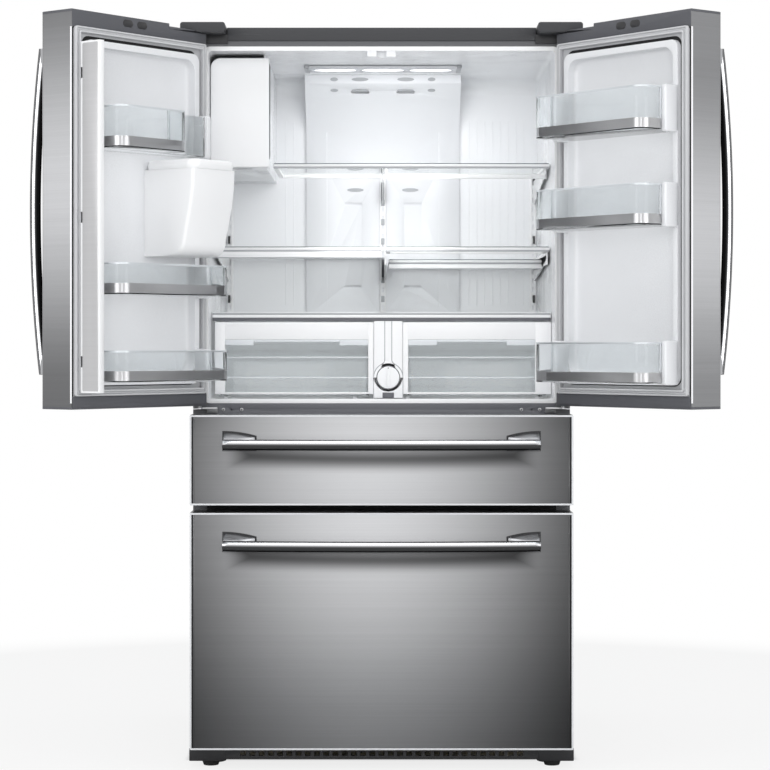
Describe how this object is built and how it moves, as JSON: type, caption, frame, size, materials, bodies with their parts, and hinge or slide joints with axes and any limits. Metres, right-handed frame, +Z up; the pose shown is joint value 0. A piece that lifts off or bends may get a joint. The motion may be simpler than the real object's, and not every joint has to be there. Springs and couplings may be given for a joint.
{
  "type": "french door refrigerator",
  "caption": "French door refrigerator with two hinged doors over a flexible drawer and a freezer drawer, shelves, crispers, door bins, ice maker and dispenser.",
  "frame": {"origin": "on the floor, at the centre of the model's box as it stands with both doors open", "axes": "+X to the right seen from the front, +Y from the doors towards the rear panel, +Z up"},
  "size_m": [1.6188, 1.1962, 1.778],
  "materials": {
    "case_steel": "satin",
    "zinc_sheet": "satin",
    "foam": "matte",
    "liner_plastic": "gloss",
    "dark_rail": "satin",
    "black_plastic": "satin",
    "hinge_steel": "satin",
    "black_steel": "satin",
    "foot_rubber": "matte",
    "duct_plastic": "satin",
    "track_metal": "satin",
    "shelf_glass": "gloss",
    "white_plastic": "satin",
    "lens": "gloss",
    "slide_steel": "satin",
    "clear_plastic": "gloss",
    "roller_nylon": "satin",
    "brushed_stainless": "satin",
    "door_cap": "satin",
    "gasket_vinyl": "matte",
    "handle_steel": "satin",
    "auger_steel": "satin"
  },
  "bodies": {
    "cabinet": {"case_shell": "case_steel", "rear_panels": "zinc_sheet", "insulation": "foam", "fridge_liner": "liner_plastic", "flex_liner": "liner_plastic", "freezer_liner": "liner_plastic", "cross_rails": "dark_rail", "top_covers": "black_plastic", "upper_hinges": "hinge_steel", "lower_hinges": "hinge_steel", "base_frame": "black_steel", "toe_grille": "black_plastic", "front_feet": "foot_rubber", "sealed_system": "black_steel", "water_valve": "black_plastic", "duct_cover": "duct_plastic", "shelf_tracks": "track_metal", "top_shelf": "shelf_glass", "left_shelf": "shelf_glass", "right_shelf": "shelf_glass", "crisper_cover": "shelf_glass", "filter_housing": "white_plastic", "ice_housing": "white_plastic", "ceiling_light": "lens", "outer_rails": "slide_steel"},
    "half_shelf": {"half_shelf": "shelf_glass"},
    "filter_knob": {"filter_knob": "white_plastic"},
    "left_crisper": {"left_crisper": "clear_plastic"},
    "right_crisper": {"right_crisper": "clear_plastic"},
    "ice_bucket": {"ice_bucket": "white_plastic"},
    "ice_auger": {"ice_auger": "auger_steel"},
    "left_roller": {"left_roller": "roller_nylon"},
    "right_roller": {"right_roller": "roller_nylon"},
    "left_door": {"left_skin": "brushed_stainless", "left_liner": "liner_plastic", "left_caps": "door_cap", "left_gasket": "gasket_vinyl", "left_handle": "handle_steel", "left_bins": "clear_plastic", "ice_chute": "white_plastic", "dispenser": "black_plastic"},
    "dispenser_lever": {"dispenser_lever": "hinge_steel"},
    "mullion": {"mullion": "white_plastic"},
    "right_door": {"right_skin": "brushed_stainless", "right_liner": "liner_plastic", "right_caps": "door_cap", "right_gasket": "gasket_vinyl", "right_handle": "handle_steel", "right_bins": "clear_plastic"},
    "flex_drawer": {"flex_front": "brushed_stainless", "flex_gasket": "gasket_vinyl", "flex_handle": "handle_steel", "flex_basket": "clear_plastic"},
    "flex_slides": {"flex_middle_rails": "slide_steel"},
    "freezer_drawer": {"freezer_front": "brushed_stainless", "freezer_gasket": "gasket_vinyl", "freezer_handle": "handle_steel", "freezer_basket": "clear_plastic"},
    "freezer_slides": {"freezer_middle_rails": "slide_steel"},
    "freezer_tray": {"freezer_tray": "clear_plastic"}
  },
  "joints": [
    {"name": "left_door_swing", "type": "hinge", "parent": "cabinet", "child": "left_door", "pos_m": [-0.44, -0.20353, 1.312], "axis": [0, 0, -1], "range_deg": [-128, 0]},
    {"name": "right_door_swing", "type": "hinge", "parent": "cabinet", "child": "right_door", "pos_m": [0.44, -0.20353, 1.312], "axis": [0, 0, 1], "range_deg": [-128, 0]},
    {"name": "mullion_fold", "type": "hinge", "parent": "left_door", "child": "mullion", "pos_m": [-0.66666, -0.55658, 1.294], "axis": [0, 0, 1], "range_deg": [-90, 0]},
    {"name": "dispenser_press", "type": "hinge", "parent": "left_door", "child": "dispenser_lever", "pos_m": [-0.59025, -0.3463, 1.387], "axis": [-0.6157, -0.788, 0], "range_deg": [0, 8], "stiffness_Nm_per_rad": 0.6},
    {"name": "flex_drawer_slide", "type": "slide", "parent": "cabinet", "child": "flex_drawer", "axis": [0, -1, 0], "range_m": [0, 0.4]},
    {"name": "flex_slides_travel", "type": "slide", "parent": "cabinet", "child": "flex_slides", "axis": [0, -1, 0], "range_m": [0, 0.2]},
    {"name": "freezer_drawer_slide", "type": "slide", "parent": "cabinet", "child": "freezer_drawer", "axis": [0, -1, 0], "range_m": [0, 0.42]},
    {"name": "freezer_slides_travel", "type": "slide", "parent": "cabinet", "child": "freezer_slides", "axis": [0, -1, 0], "range_m": [0, 0.21]},
    {"name": "freezer_tray_slide", "type": "slide", "parent": "freezer_drawer", "child": "freezer_tray", "axis": [0, 1, 0], "range_m": [0, 0.28]},
    {"name": "left_crisper_slide", "type": "slide", "parent": "cabinet", "child": "left_crisper", "axis": [0, -1, 0], "range_m": [0, 0.18]},
    {"name": "right_crisper_slide", "type": "slide", "parent": "cabinet", "child": "right_crisper", "axis": [0, -1, 0], "range_m": [0, 0.18]},
    {"name": "half_shelf_slide", "type": "slide", "parent": "cabinet", "child": "half_shelf", "axis": [0, 1, 0], "range_m": [0, 0.14]},
    {"name": "filter_turn", "type": "hinge", "parent": "cabinet", "child": "filter_knob", "pos_m": [0.0165, -0.05503, 0.927], "axis": [0, 1, 0], "range_deg": [0, 90]},
    {"name": "ice_bucket_slide", "type": "slide", "parent": "cabinet", "child": "ice_bucket", "axis": [0, -1, 0], "range_m": [0, 0.14]},
    {"name": "ice_auger_spin", "type": "hinge", "parent": "ice_bucket", "child": "ice_auger", "pos_m": [-0.352, 0.12497, 1.498], "axis": [0, 1, 0], "continuous": true},
    {"name": "left_roller_spin", "type": "hinge", "parent": "cabinet", "child": "left_roller", "pos_m": [-0.407, 0.52297, 0.02], "axis": [1, 0, 0], "continuous": true},
    {"name": "right_roller_spin", "type": "hinge", "parent": "cabinet", "child": "right_roller", "pos_m": [0.407, 0.52297, 0.02], "axis": [1, 0, 0], "continuous": true}
  ],
  "couplings": [
    {"joint": "flex_slides_travel", "follows": "flex_drawer_slide", "ratio": 0.5},
    {"joint": "freezer_slides_travel", "follows": "freezer_drawer_slide", "ratio": 0.5}
  ]
}
